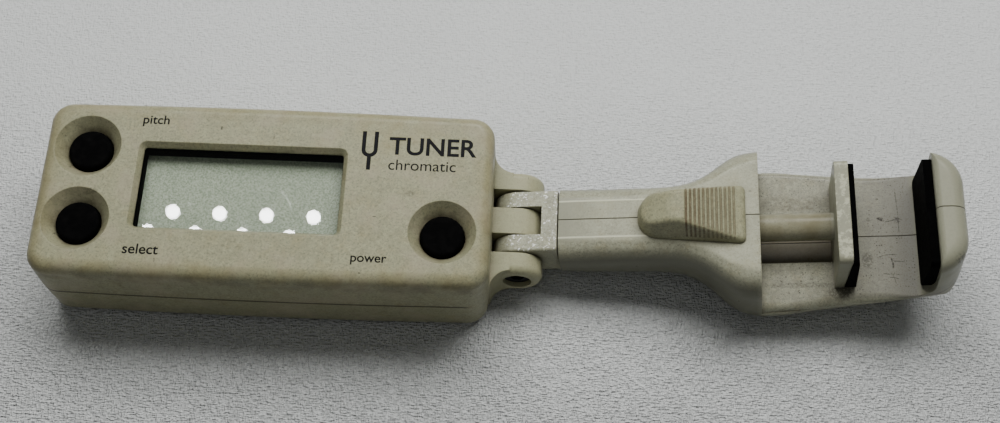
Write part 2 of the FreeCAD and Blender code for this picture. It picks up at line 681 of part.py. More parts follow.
def clamp_screws():
    screws = []
    for x, z, head_y in CLAMP_SCREWS:
        head = across(SCREW_HEAD_RADIUS, x, z, (head_y - 1.0, head_y))
        shank = across(SCREW_RADIUS, x, z, (-head_y + 2, head_y - 1.0))
        cross = [box((x - 1.0, x + 1.0), (head_y - 0.5, head_y + 1), (z - 0.2, z + 0.2)),
                 box((x - 0.2, x + 0.2), (head_y - 0.5, head_y + 1), (z - 1.0, z + 1.0))]
        screws.append(tip_up(cut(head.fuse(shank), cross)))
    return group(screws)


def hook_pad():
    """Rubber wedge on the hook, a little thicker at its foot, which follows the fillet."""
    top, foot = 3.5, FLOOR + 0.6
    blank = box((HOOK_INNER - 5, HOOK_INNER + 1), (-8.9, 8.9), (foot, top))
    blank = fillet_where(blank, 0.8, lambda b: b.XLength > 1.0)
    front_top = V(HOOK_INNER - HOOK_PAD_TOP, -10, top)
    front_foot = V(HOOK_INNER - HOOK_PAD_FOOT, -10, foot)
    slab = polygon([front_top, V(HOOK_INNER + 2, -10, top), V(HOOK_INNER + 2, -10, foot), front_foot])
    pad = blank.common(slab.extrude(V(0, 20, 0)))
    return pad.cut(clamp_side_profile())


def jaw_plate():
    """The jaw's plate before its corners are rounded."""
    side = [V(JAW[0], -JAW_HALF, JAW_TOP), V(JAW[1], -JAW_HALF, JAW_TOP),
            V(JAW_FOOT[1], -JAW_HALF, JAW_BOTTOM), V(JAW_FOOT[0], -JAW_HALF, JAW_BOTTOM)]
    return polygon(side).extrude(V(0, 2 * JAW_HALF, 0))


def jaw_pad():
    """Rubber wedge on the plate's leaning face; its own face stands square to the clamp."""
    blank = box((JAW_FOOT[1] - 0.2, JAW[1] + PAD_THICK), PAD_Y, (-5.6, 3.9))
    blank = fillet_where(blank, 0.7, lambda b: b.XLength > 0.5)
    lean = (JAW[1] - JAW_FOOT[1]) / (JAW_TOP - JAW_BOTTOM)
    above = V(JAW[1] + lean, -10, JAW_TOP + 1)
    below = V(JAW_FOOT[1] - lean, -10, JAW_BOTTOM - 1)
    plate_side = polygon([above, below, below - V(3, 0, 0), above - V(5, 0, 0)]).extrude(V(0, 20, 0))
    return blank.cut(plate_side)


def sliding_jaw():
    plate = fillet_where(jaw_plate(), 1.0, lambda b: b.XLength > 1.0 and b.ZMin > 0)
    bar = along(ROD_RADIUS, (ROD_END, JAW[0] + 0.5), ROD_AXIS)
    tongue_z = (FLOOR - GROOVE_DEPTH + 0.2, JAW_BOTTOM + 0.3)
    tongue = box((JAW_FOOT[0], JAW_FOOT[1] - 0.1), (-GROOVE_HALF + 0.2, GROOVE_HALF - 0.2), tongue_z)
    jaw = join([plate, bar, tongue])
    socket = box(WEB, (-WEB_HALF, WEB_HALF), (ROD_AXIS - 0.8, 5))
    pin = across(0.6, sum(WEB) / 2, ROD_AXIS + 0.2, (-3, 3))
    return cut(jaw, [socket, pin])


def slide_pin():
    return across(0.6, sum(WEB) / 2, ROD_AXIS + 0.2, (-1.9, 1.9))


def slide_outline(z, inset):
    """Plan outline of the thumb slide: a round nose, spreading sides and small rear corners."""
    nose, tail = SLIDE_NOSE + inset, SLIDE_END - inset / 3
    nose_half, tail_half = SLIDE_HALF[0] - inset, SLIDE_HALF[1] - inset
    slab = polygon([V(nose, -nose_half, z), V(tail, -tail_half, z),
                    V(tail, tail_half, z), V(nose, nose_half, z)]).extrude(Z_AXIS)
    slab = fillet_where(slab, nose_half - 0.15, lambda b: b.ZLength > 0.5 and b.XMax < nose + 1)
    slab = fillet_where(slab, SLIDE_TAIL_RADIUS, lambda b: b.ZLength > 0.5 and b.XMin > tail - 0.01)
    return [face for face in slab.Faces if abs(face.BoundBox.ZMax - z) < 0.001][0].OuterWire


def slide_side_profile():
    """Side view of the thumb slide: a soft nose, a crest and a ramp down to the tail."""
    crest = V(SLIDE_CREST, 0, SLIDE_CREST_TOP)
    ramp_end = V(SLIDE_RAMP_END, 0, SLIDE_RAMP_TOP)
    front, rear = SLIDE_NOSE - 1.0, SLIDE_END + 0.6
    nose = [V(front, 0, 5.0), V(SLIDE_NOSE + 1.0, 0, 6.45), V(SLIDE_NOSE + 3.8, 0, 7.75), crest]
    tail = [ramp_end, V(SLIDE_END - 0.3, 0, 4.75), V(rear, 0, 4.4)]
    edges = [
        Part.makeLine(V(front, 0, SLIDE_BASE), nose[0]),
        spline(nose, V(1, 0, 1), V(1, 0, -0.2)),
        Part.makeLine(crest, ramp_end),
        spline(tail, ramp_end - crest, V(1, 0, -0.5)),
        Part.makeLine(tail[-1], V(rear, 0, SLIDE_BASE)),
        Part.makeLine(V(rear, 0, SLIDE_BASE), V(front, 0, SLIDE_BASE)),
    ]
    return Part.Face(Part.Wire(edges)).extrude(V(0, 12, 0)).translated(V(0, -6, 0))


def thumb_slide():
    """Ribbed thumb button: a smooth rounded nose, a crest and a ribbed ramp."""
    outlines = [slide_outline(SLIDE_BASE, 0.0), slide_outline(SLIDE_BASE + SLIDE_BLANK, SLIDE_LEAN)]
    body = Part.makeLoft(outlines, True, True).common(slide_side_profile())
    body = fillet_where(body, SLIDE_SOFTNESS, lambda b: b.ZMin > SLIDE_BASE + 0.1
                        and not (b.XLength < 0.01 and b.YLength > 1))
    fall = (SLIDE_CREST_TOP - SLIDE_RAMP_TOP) / (SLIDE_RAMP_END - SLIDE_CREST)
    grooves = []
    for i in range(GROOVE_COUNT):
        x = GROOVE_FIRST + GROOVE_PITCH * i
        grooves.append(across(GROOVE_RADIUS, x, SLIDE_CREST_TOP + 0.02 - fall * (x - SLIDE_CREST), (-7, 7)))
    web = box(WEB, (-WEB_HALF, WEB_HALF), (ROD_AXIS - 0.8, SLIDE_BASE + 0.5))
    pin = across(0.6, sum(WEB) / 2, ROD_AXIS + 0.2, (-3, 3))
    return cut(cut(body, grooves).fuse(web), [pin])


def jaw_spring():
    """Compression spring behind the rod, drawn at its rest length."""
    wire, radius = 0.25, 1.9
    length = ROD_END - SPRING_START - 2 * wire - 0.2
    helix = Part.makeHelix(length / 7.5, length, radius)
    section = Part.Wire(Part.makeCircle(wire, V(radius, 0, 0), V(0, 1, 0)))
    coil = Part.Wire(helix.Edges).makePipeShell([section], True, True)
    coil.rotate(V(0, 0, 0), Y_AXIS, 90)
    coil.translate(V(SPRING_START + wire + 0.1, 0, ROD_AXIS))
    return coil


# ---- the whole tuner ----
def build():
    near = clamp_near_half()
    far = near.mirror(V(0, 0, 0), Y_AXIS)
    nodes = {
        "clamp_half_near": tip_up(near.cut(clamp_screw_holes())),
        "clamp_half_far": tip_up(far.cut(clamp_screw_holes())),
        "clamp_screws": clamp_screws(),
        "hook_pad": tip_up(hook_pad()),
        "friction_washer": tip_up(friction_washer()),
        "swivel_yoke": tip_up(yoke()),
        "sliding_jaw": tip_up(sliding_jaw()),
        "jaw_pad": tip_up(jaw_pad()),
        "thumb_slide": tip_up(thumb_slide()),
        "slide_pin": tip_up(slide_pin()),
        "jaw_spring": tip_up(jaw_spring()),
        "front_shell": front_shell(),
        "rear_shell": rear_shell(),
        "display_window": display_window(),
        "lcd_gasket": lcd_gasket(),
        "lcd_panel": lcd_panel(),
        "connector_strip_front": connector_strip(-1),
        "connector_strip_back": connector_strip(1),
        "circuit_board": circuit_board(),
        "main_chip": chip(51.5, 4.0, 7.0, 1.6),
        "signal_chip": chip(13.0, 0.0, 5.0, 1.4),
        "coin_cell": coin_cell(),
        "positive_contact": positive_contact(),
        "negative_contact": negative_contact(),
        "piezo_pickup": piezo_pickup(),
        "piezo_leads": piezo_leads(),
        "battery_cap": battery_cap(),
        "case_screws": case_screws(),
        "hinge_screw": hinge_screw(),
        "hinge_nut": hinge_nut(),
    }
    for name, place in BUTTONS.items():
        nodes[name + "_button"] = button_cap(place)
        nodes[name + "_plunger"] = button_plunger(place)
        nodes[name + "_switch"] = tact_switch(place)
    return nodes


def main():
    nodes = build()
    whole = group(nodes.values()).optimalBoundingBox(True, False)
    shift = V(-(whole.XMin + whole.XMax) / 2, -(whole.YMin + whole.YMax) / 2, -whole.ZMin)
    print("shift", [round(c, 4) for c in shift], "size", round(whole.XLength, 2),
          round(whole.YLength, 2), round(whole.ZLength, 2))
    for name, shape in nodes.items():
        moved = shape.translated(shift)
        print(name, "valid", moved.isValid(), "solids", len(moved.Solids), "volume", round(moved.Volume, 2))
        moved.exportStep("parts/" + name + ".step")


main()
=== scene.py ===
import json
import math

import bmesh
import bpy
from mathutils import Euler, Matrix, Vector

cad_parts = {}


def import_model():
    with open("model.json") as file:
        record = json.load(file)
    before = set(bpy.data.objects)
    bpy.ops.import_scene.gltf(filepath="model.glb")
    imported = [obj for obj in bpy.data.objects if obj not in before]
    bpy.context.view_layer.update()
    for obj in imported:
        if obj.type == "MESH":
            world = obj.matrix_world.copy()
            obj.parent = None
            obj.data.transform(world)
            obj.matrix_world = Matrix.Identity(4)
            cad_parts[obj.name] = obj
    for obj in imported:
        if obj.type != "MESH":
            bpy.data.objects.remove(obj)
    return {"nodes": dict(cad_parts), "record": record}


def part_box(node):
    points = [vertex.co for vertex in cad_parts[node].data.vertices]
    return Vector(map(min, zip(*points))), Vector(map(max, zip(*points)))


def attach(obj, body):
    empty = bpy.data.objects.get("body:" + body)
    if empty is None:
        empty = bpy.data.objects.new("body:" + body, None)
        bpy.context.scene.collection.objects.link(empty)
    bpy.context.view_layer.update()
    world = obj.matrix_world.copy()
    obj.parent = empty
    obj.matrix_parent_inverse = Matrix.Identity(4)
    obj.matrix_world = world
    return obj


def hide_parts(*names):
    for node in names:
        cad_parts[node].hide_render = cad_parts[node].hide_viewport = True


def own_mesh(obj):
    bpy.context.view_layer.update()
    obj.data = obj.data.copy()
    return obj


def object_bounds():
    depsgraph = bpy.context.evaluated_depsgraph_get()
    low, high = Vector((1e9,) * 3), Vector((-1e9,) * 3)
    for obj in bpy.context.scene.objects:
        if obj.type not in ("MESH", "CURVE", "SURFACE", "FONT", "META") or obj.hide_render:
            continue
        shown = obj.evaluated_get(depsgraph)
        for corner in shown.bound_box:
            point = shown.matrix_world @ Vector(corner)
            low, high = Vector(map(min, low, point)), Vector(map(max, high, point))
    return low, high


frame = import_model()
cad_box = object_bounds()
nodes = frame["nodes"]
MM = 0.001


# ---- places taken from the frame ----
def low(node):
    return Vector(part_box(node)[0])


def high(node):
    return Vector(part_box(node)[1])


joints = {joint["name"]: joint for joint in frame["record"]["behaviour"]["joints"]}
hinge_place = Vector(joints["case_tilt"]["pos_m"])
clamp_axis = Vector(joints["case_swivel"]["axis"]).normalized()
clamp_pitch = math.atan2(clamp_axis.z, clamp_axis.x)
case_origin = Vector((low("front_shell").x, 0.0, 0.0))
face_z = high("front_shell").z

# the case, in millimetres from its left end, middle line and back
CASE_MIDDLE = 35.0          # middle of its length
CASE_HALF_WIDTH = 14.9
PARTING = 9.3               # height of the line where the two shells meet
SHOULDER = 15.9             # height of the rounded top edge
KNUCKLES = 69.8             # where its hinge knuckles start

# the clamp, in millimetres along and above its axis from the hinge
HANDLE_TOP = 3.7            # height of the handle's flat top
RIB_FIRST, RIB_PITCH, RIB_LAST = 26.8, 0.655, 34.1      # ribs of the thumb slide
MOUTH = 37.8                # where the handle ends and the channel starts
CHANNEL_FLOOR = -5.75       # height of the channel's floor
JAW_PLATE = 48.6            # where the jaw's rod ends and its plate starts
HOOK = 57.0                 # where the floor starts to turn into the hook


def in_case(x, y, z):
    """A point given in millimetres from the case's left end, middle line and back."""
    return case_origin + Vector((x, y, z)) * MM


# ---- node material helpers ----
class Maker:
    """Builds one node material with short calls. Its coordinates are millimetres, in the case's
    own directions or, for a clamp material, along, across and above the clamp's axis."""

    EDGE_SAMPLES = 6
    GAP_SAMPLES = 8

    def __init__(self, name, clamp=False):
        self.material = bpy.data.materials.new(name)
        self.material.use_nodes = True
        self.tree = self.material.node_tree
        self.shader = self.tree.nodes["Principled BSDF"]
        place = self.tree.nodes.new("ShaderNodeTexCoord").outputs["Object"]
        place = self.vector("SUBTRACT", place, hinge_place if clamp else case_origin)
        if clamp:
            turn = self.add("ShaderNodeVectorRotate", Vector=place, Angle=clamp_pitch)
            turn.rotation_type = "Y_AXIS"
            place = turn.outputs["Vector"]
        scaled = self.add("ShaderNodeVectorMath")
        scaled.operation = "SCALE"
        self.feed(scaled.inputs[0], place)
        scaled.inputs["Scale"].default_value = 1 / MM
        self.coords = scaled.outputs["Vector"]
        split = self.tree.nodes.new("ShaderNodeSeparateXYZ")
        self.feed(split.inputs[0], self.coords)
        self.x, self.y, self.z = split.outputs

    def add(self, kind, **inputs):
        node = self.tree.nodes.new(kind)
        for name, value in inputs.items():
            self.feed(node.inputs[name.replace("_", " ")], value)
        return node

    def feed(self, socket, value):
        if isinstance(value, bpy.types.NodeSocket):
            self.tree.links.new(value, socket)
        else:
            socket.default_value = value

    def vector(self, operation, first, second):
        node = self.tree.nodes.new("ShaderNodeVectorMath")
        node.operation = operation
        self.feed(node.inputs[0], first)
        self.feed(node.inputs[1], second)
        return node.outputs[0]

    def math(self, operation, first, second=0.0, clamp=False):
        node = self.tree.nodes.new("ShaderNodeMath")
        node.operation = operation
        node.use_clamp = clamp
        self.feed(node.inputs[0], first)
        self.feed(node.inputs[1], second)
        return node.outputs[0]

    def times(self, *values):
        result = values[0]
        for value in values[1:]:
            result = self.math("MULTIPLY", result, value)
        return result

    def plus(self, *values):
        result = values[0]
        for value in values[1:]:
            result = self.math("ADD", result, value, clamp=True)
        return result

    def noise(self, scale, detail=4.0, roughness=0.55, vector=None):
        """Cloudy noise with scale features per millimetre."""
        node = self.add("ShaderNodeTexNoise", Scale=scale, Detail=detail, Roughness=roughness)
        self.feed(node.inputs["Vector"], vector or self.coords)
        return node.outputs["Fac"]

    def stretched(self, scale, turn=(0.0, 0.0, 0.0)):
        """Coordinates scaled by axis, for scratches and brushing."""
        node = self.add("ShaderNodeMapping", Vector=self.coords)
        node.inputs["Scale"].default_value = scale
        node.inputs["Rotation"].default_value = turn
        return node.outputs["Vector"]

    def specks(self, scale, radius, share):
        """Round specks up to a radius in millimetres, in a share of the cells of a grid."""
        node = self.add("ShaderNodeTexVoronoi", Scale=scale, Vector=self.coords)
        split = self.tree.nodes.new("ShaderNodeSeparateXYZ")
        self.feed(split.inputs[0], node.outputs["Color"])
        size = self.band(split.outputs["Y"], 0.0, 1.0, 0.35 * radius * scale, radius * scale)
        dot = self.math("LESS_THAN", node.outputs["Distance"], size)
        return self.math("MULTIPLY", dot, self.math("LESS_THAN", split.outputs["X"], share))

    def band(self, value, start, end, out_start=0.0, out_end=1.0):
        """Maps a value from one range to another, clamped."""
        node = self.add("ShaderNodeMapRange", Value=value)
        node.inputs["From Min"].default_value = start
        node.inputs["From Max"].default_value = end
        node.inputs["To Min"].default_value = out_start
        node.inputs["To Max"].default_value = out_end
        return node.outputs["Result"]

    def near(self, value, centre, half, soft):
        """1 within half of a centre, falling to 0 over the soft width beyond."""
        away = self.math("ABSOLUTE", self.math("SUBTRACT", value, centre))
        return self.band(away, half, half + soft, 1.0, 0.0)

    def patch(self, along, across, reach_along, reach_across):
        """A soft oval patch on the top of the clamp or case."""
        u = self.math("DIVIDE", self.math("SUBTRACT", self.x, along), reach_along)
        v = self.math("DIVIDE", self.math("SUBTRACT", self.y, across), reach_across)
        return self.band(self.math("ADD", self.times(u, u), self.times(v, v)), 0.0, 1.0, 1.0, 0.0)

    def scratch(self, start, end, half, bow):
        """A thin line between two places, bowed out by bow millimetres at its middle."""
        turn = math.atan2(end[1] - start[1], end[0] - start[0])
        cos, sin = math.cos(turn), math.sin(turn)
        u = self.math("SUBTRACT", self.x, start[0])
        v = self.math("SUBTRACT", self.y, start[1])
        along = self.math("ADD", self.times(u, cos), self.times(v, sin))
        off = self.math("SUBTRACT", self.times(v, cos), self.times(u, sin))
        share = self.math("DIVIDE", along, math.dist(start, end))
        curve = self.times(share, self.math("SUBTRACT", 1.0, share), 4 * bow)
        line = self.near(self.math("SUBTRACT", off, curve), 0.0, half, half)
        return self.times(line, self.near(share, 0.5, 0.40, 0.10))

    def mix(self, share, first, second):
        node = self.tree.nodes.new("ShaderNodeMix")
        node.data_type = "RGBA"
        self.feed(node.inputs[0], share)
        self.feed(node.inputs[6], (*first, 1.0) if isinstance(first, tuple) else first)
        self.feed(node.inputs[7], (*second, 1.0) if isinstance(second, tuple) else second)
        return node.outputs[2]

    def corners(self, distance):
        """A corner-rounding normal, and how strongly each place is at an edge."""
        bevel = self.add("ShaderNodeBevel")
        bevel.samples = self.EDGE_SAMPLES
        bevel.inputs["Radius"].default_value = distance * MM
        normal = self.tree.nodes.new("ShaderNodeNewGeometry").outputs["Normal"]
        dot = self.tree.nodes.new("ShaderNodeVectorMath")
        dot.operation = "DOT_PRODUCT"
        self.feed(dot.inputs[0], bevel.outputs["Normal"])
        self.feed(dot.inputs[1], normal)
        return bevel.outputs["Normal"], self.band(dot.outputs["Value"], 0.98, 0.80, 0.0, 1.0)

    def crevice(self, distance):
        """1 deep in gaps and corners, 0 in the open."""
        node = self.tree.nodes.new("ShaderNodeAmbientOcclusion")
        node.samples = self.GAP_SAMPLES
        node.inputs["Distance"].default_value = distance * MM
        return self.band(node.outputs["AO"], 1.0, 0.35, 0.0, 1.0)

    def bump(self, height, strength, distance, normal=None):
        """Bump whose full height is a distance in millimetres."""
        node = self.add("ShaderNodeBump", Height=height)
        node.inputs["Strength"].default_value = strength
        node.inputs["Distance"].default_value = distance * MM
        if normal:
            self.feed(node.inputs["Normal"], normal)
        return node.outputs["Normal"]

    def finish(self, **inputs):
        """Links or sets the shader's inputs and gives back the material."""
        for name, value in inputs.items():
            self.feed(self.shader.inputs[name.replace("_", " ")], value)
        return self.material


def dress(material, *names):
    """Puts a material on every slot of the named CAD nodes."""
    for name in names:
        if not nodes[name].material_slots:
            nodes[name].data.materials.append(material)
        for slot in nodes[name].material_slots:
            slot.material = material


def shade(colour, share):
    """A colour made darker, or lighter for a share above 1."""
    return tuple(part * share for part in colour)


# ---- aged moulded plastic ----
BEIGE = (0.335, 0.330, 0.205)
PALE = (0.385, 0.385, 0.278)
YELLOW = (0.300, 0.255, 0.120)
# brown of dirt, also the colour of painted shade in corners and under the jaw's rod
GRIME_AND_SHADE = (0.085, 0.068, 0.038)
SOOT = (0.035, 0.030, 0.022)
ROSY = (0.395, 0.345, 0.245)
SEAM_BROWN = (0.040, 0.024, 0.012)
RIB_BROWN = (0.100, 0.070, 0.035)
ROD_BROWN = (0.19, 0.170, 0.098)
WORN_GREY = (0.16, 0.150, 0.125)
SCUFFED_GREY = (0.155, 0.150, 0.128)
PAINTED_GLINT = (1.0, 1.0, 0.95)
GROOVE_DEPTH = 3.0          # of a moulded line, against the plastic's grain


class Plastic(Maker):
    """Moulded plastic that has aged: clouded, yellowed and speckled, with dirt and painted shade in
    its corners, worn edges that are also a painted highlight, and fine scratches. Extra marks are
    mixed in before it is finished."""

    # dirt: how dark gaps and corners get (dirt and painted shade); worn: how light edges get (wear
    # and painted highlight)
    def __init__(self, name, base, clamp=False, speckle=0.3, scratches=0.25, dirt=0.7, worn=0.65):
        super().__init__(name, clamp)
        cloud = self.band(self.noise(0.11, 5.0, 0.6), 0.35, 0.68)
        self.colour = self.mix(cloud, base, shade(base, 0.90))
        # mottling from coarse to fine: noise, the part of it that shows, strength, colour
        for noise, start, end, share, colour in (
                ((0.35, 6.0, 0.65), 0.50, 0.72, 0.45, YELLOW),
                ((0.6, 6.0, 0.75), 0.46, 0.66, 0.45, shade(base, 0.62)),
                ((1.6, 5.0, 0.75), 0.50, 0.64, 0.50, shade(base, 1.30)),
                ((2.9, 4.0, 0.75), 0.50, 0.64, 0.75, shade(base, 0.50))):
            self.tint(self.band(self.noise(*noise), start, end, 0.0, share), colour)
        where = self.band(self.noise(0.22, 3.0), 0.46, 0.62, 0.25, 1.0)
        self.tint(self.times(self.specks(1.1, 0.16, 0.55), where, speckle), GRIME_AND_SHADE)
        self.tint(self.times(self.specks(0.34, 0.20, 0.30), speckle), SOOT)
        self.rounded, edge = self.corners(0.22)
        crevice = self.crevice(1.1)
        patchy = self.band(self.noise(0.9, 4.0), 0.30, 0.65, 0.35, 1.0)
        # dirt and painted shade: darker where the occlusion finds gaps and corners
        self.tint(self.times(crevice, patchy, dirt), GRIME_AND_SHADE)
        rubbed = self.band(self.noise(0.6, 5.0), 0.35, 0.62)
        # worn edges and a painted highlight: lighter along edges in the open
        wear_and_highlight = self.times(edge, rubbed, self.band(crevice, 0.0, 0.3, 1.0, 0.0))
        self.tint(self.times(wear_and_highlight, worn), shade(base, 1.45))
        lines = self.streaks(turn=0.45, start=0.69, end=0.75)
        self.tint(self.times(lines, scratches), GRIME_AND_SHADE)
        self.height = self.math("SUBTRACT", self.noise(2.6, 3.0), self.times(lines, 0.7))
        self.rough = self.band(self.noise(0.45, 6.0), 0.3, 0.7, -0.07, 0.09)

    def tint(self, share, colour):
        """Mixes a share of another colour into the colour so far."""
        self.colour = self.mix(share, self.colour, colour)

    def streaks(self, turn, start, end):
        """Thin scratches in two directions, gathered in patches."""
        first, second = (
            self.band(self.noise(1.0, 2.0, 0.5, self.stretched(scale, (0.0, 0.0, angle))),
                      start, end)
            for scale, angle in (((0.12, 3.4, 3.4), turn), ((2.9, 0.14, 2.9), turn * 0.6)))
        both = self.math("MAXIMUM", first, second)
        return self.times(both, self.band(self.noise(0.16, 3.0), 0.50, 0.60))

    def marks(self, rows, where):
        """Small dark marks, each given by place, reach each way and strength."""
        broken = self.band(self.noise(2.8, 5.0, 0.7), 0.42, 0.52)
        for along, across, reach_along, reach_across, share in rows:
            spot = self.band(self.patch(along, across, reach_along, reach_across), 0.0, 0.6)
            self.tint(self.times(where, spot, broken, share), SOOT)

    def scratches(self, rows, where):
        """Dark scratches, each given by its ends, half width, bow and strength."""
        broken = self.band(self.noise(1.9, 4.0, 0.75), 0.40, 0.54)
        for start, end, half, bow, share in rows:
            self.tint(self.times(where, broken, self.scratch(start, end, half, bow), share), SOOT)

    def groove(self, line, colour=SOOT):
        """A fine dark line that is also cut into the surface."""
        self.tint(self.times(line, 0.93), colour)
        self.height = self.math("SUBTRACT", self.height, self.times(line, GROOVE_DEPTH))

    def done(self, roughness, bump=0.25, height=0.035, specular=0.3):
        """Finishes the material with a base roughness and the bump's strength and height."""
        normal = self.bump(self.height, bump, height, self.rounded)
        self.shader.inputs["Specular IOR Level"].default_value = specular
        rough = self.math("ADD", self.rough, roughness)
        return self.finish(Base_Color=self.colour, Roughness=rough, Normal=normal)


# marks: along, across, reach each way, strength
CASE_MARKS = (
    (27.3, 10.4, 0.22, 0.35, 0.8), (35.6, 9.3, 0.12, 0.7, 0.6), (52.2, -3.7, 0.35, 0.15, 0.7),
    (50.7, -13.0, 0.25, 0.15, 0.7), (19.9, -12.2, 0.15, 0.4, 0.7), (4.2, 3.4, 0.16, 0.2, 0.9),
    (2.7, 8.5, 0.3, 0.16, 0.8), (3.6, -7.8, 0.2, 0.2, 0.8), (57.4, 0.4, 1.0, 0.6, 0.35),
    (8.5, -1.1, 1.4, 0.5, 0.35), (73.15, 2.0, 0.35, 0.12, 1.0), (75.4, 7.7, 0.1, 0.4, 1.0),
)
FLOOR_MARKS = (
    (56.7, 3.0, 0.5, 0.35, 1.0), (54.9, 2.9, 0.5, 0.4, 0.5), (59.3, 2.6, 0.5, 0.4, 0.6),
    (56.4, 6.4, 0.3, 0.2, 0.9), (55.6, 5.6, 0.3, 0.2, 0.7), (54.3, -4.0, 1.0, 1.6, 0.5),
    (50.0, -9.3, 2.4, 1.2, 0.6), (44.0, -8.0, 7.0, 0.5, 0.35),
)
# scratches on the channel's floor: from, to, half width, bow, strength
FLOOR_SCRATCHES = (
    ((56.1, 3.3), (57.4, 2.5), 0.10, -0.10, 1.0), ((57.0, 2.5), (59.4, 3.1), 0.06, -0.2, 0.9),
    ((58.7, 3.2), (60.1, 2.6), 0.05, 0.1, 0.7), ((57.9, -3.7), (58.1, -5.5), 0.09, 0.1, 1.0),
    ((55.9, -3.6), (58.9, -3.2), 0.05, 0.2, 0.8), ((57.8, -4.3), (60.0, -4.5), 0.05, 0.1, 0.8),
    ((56.5, -6.3), (59.5, -6.5), 0.05, -0.1, 0.8), ((57.4, -7.0), (58.9, -7.3), 0.05, 0.1, 0.7),
    ((59.2, 8.4), (59.4, 0.2), 0.05, 0.1, 0.7), ((57.2, -5.6), (58.3, -8.6), 0.04, 0.4, 0.6),
)
HANDLE_MARKS = (
    (36.5, 4.0, 0.3, 0.22, 0.9), (19.6, 3.0, 0.6, 0.18, 0.7), (18.6, 3.3, 0.7, 0.12, 0.5),
    (13.4, 1.6, 0.2, 0.15, 0.6), (29.2, 4.9, 0.25, 0.2, 0.6),
)


def case_plastic():
    """Beige, yellower along the rounded top edges, with the line where the shells meet."""
    m = Plastic("case_plastic", BEIGE, speckle=0.36, worn=0.3)
    m.tint(m.band(m.noise(0.16, 4.0, 0.6), 0.50, 0.62, 0.0, 0.35), ROSY)
    top = m.band(m.z, SHOULDER - 1.4, SHOULDER + 0.9)
    sides = m.band(m.math("ABSOLUTE", m.y), CASE_HALF_WIDTH - 3.7, CASE_HALF_WIDTH - 0.3)
    ends = m.math("ABSOLUTE", m.math("SUBTRACT", m.x, CASE_MIDDLE))
    ends = m.band(ends, CASE_MIDDLE - 4.0, CASE_MIDDLE - 0.1)
    rim = m.times(m.math("MAXIMUM", sides, ends), top, m.band(m.noise(0.2, 5.0), 0.36, 0.62))
    m.tint(m.times(rim, 0.55), YELLOW)
    m.tint(m.times(rim, m.band(m.noise(0.7, 5.0), 0.5, 0.7), 0.35), GRIME_AND_SHADE)
    shoulder = m.times(m.near(m.z, SHOULDER, 0.4, 1.3), m.band(m.noise(0.3, 4.0), 0.40, 0.66))
    m.tint(m.times(shoulder, 0.4), GRIME_AND_SHADE)
    stain = m.times(m.patch(55.0, 10.5, 8.0, 4.5), m.band(m.noise(0.3, 5.0), 0.35, 0.65), top)
    m.tint(m.times(stain, 0.6), YELLOW)
    m.marks(CASE_MARKS, m.band(m.z, PARTING + 0.6, PARTING + 0.8))
    pits = m.times(m.band(m.x, KNUCKLES - 0.2, KNUCKLES + 0.2), m.specks(2.8, 0.09, 0.5))
    m.tint(m.times(pits, m.band(m.noise(0.5, 3.0), 0.42, 0.60), 0.7), SOOT)
    # painted shade: the left end darker, in a yellow-brown tone
    shaded_left_end = m.times(m.band(m.x, 3.2, 0.2), m.band(m.noise(0.3, 4.0), 0.3, 0.6, 0.3, 0.6))
    m.tint(shaded_left_end, shade(YELLOW, 0.6))
    m.tint(m.times(m.band(m.x, KNUCKLES, KNUCKLES + 0.8), 0.5), shade(BEIGE, 1.25))
    seam = m.times(m.near(m.z, PARTING, 0.20, 0.08),
                   m.band(m.x, KNUCKLES - 3.8, KNUCKLES - 2.3, 1.0, 0.0))
    m.groove(seam, SEAM_BROWN)
    return m.done(0.36)


